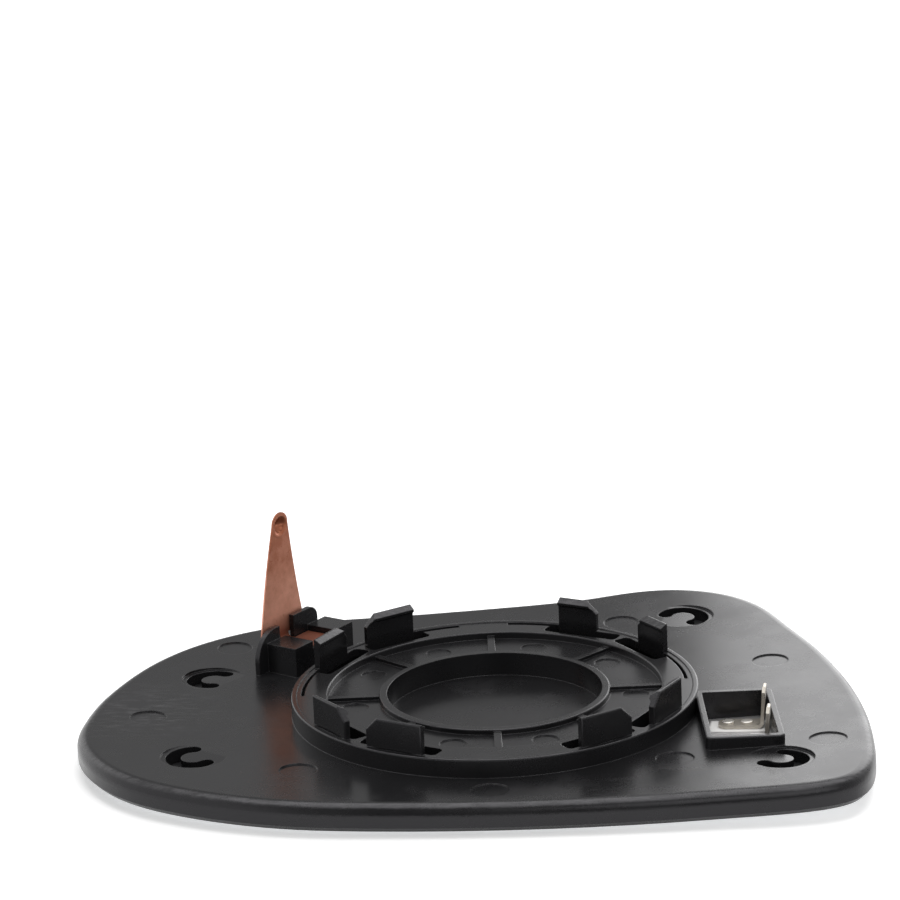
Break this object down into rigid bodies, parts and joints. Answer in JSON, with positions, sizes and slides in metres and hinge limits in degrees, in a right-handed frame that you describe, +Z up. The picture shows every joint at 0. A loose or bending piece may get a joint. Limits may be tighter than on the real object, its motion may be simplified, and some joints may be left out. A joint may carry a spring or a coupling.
{
  "type": "car door mirror glass",
  "caption": "Heated convex door mirror glass lying face down, its black backing plate up, with a clip ring round a centre well, a copper leaf spring and a boxed pair of blade terminals.",
  "frame": {"origin": "bottom centre of the whole: under the middle of the plate, level with the lowest point of the convex glass", "axes": "+Z up out of the back of the plate, +X to the wide end with the connector box, +Y to the slanting edge"},
  "size_m": [0.1854, 0.146, 0.0454],
  "materials": {
    "black_plastic": "moulded, half gloss",
    "mirror": "polished",
    "film": "foil faced",
    "tinned_terminal": "tin plated",
    "copper_spring": "copper, rolled"
  },
  "bodies": {
    "root": {"backing_plate": "black_plastic", "mirror_glass": "mirror", "heater_film": "film", "terminal_rear": "tinned_terminal", "terminal_front": "tinned_terminal", "terminal_rivets": "tinned_terminal", "leaf_spring": "copper_spring"}
  },
  "joints": []
}
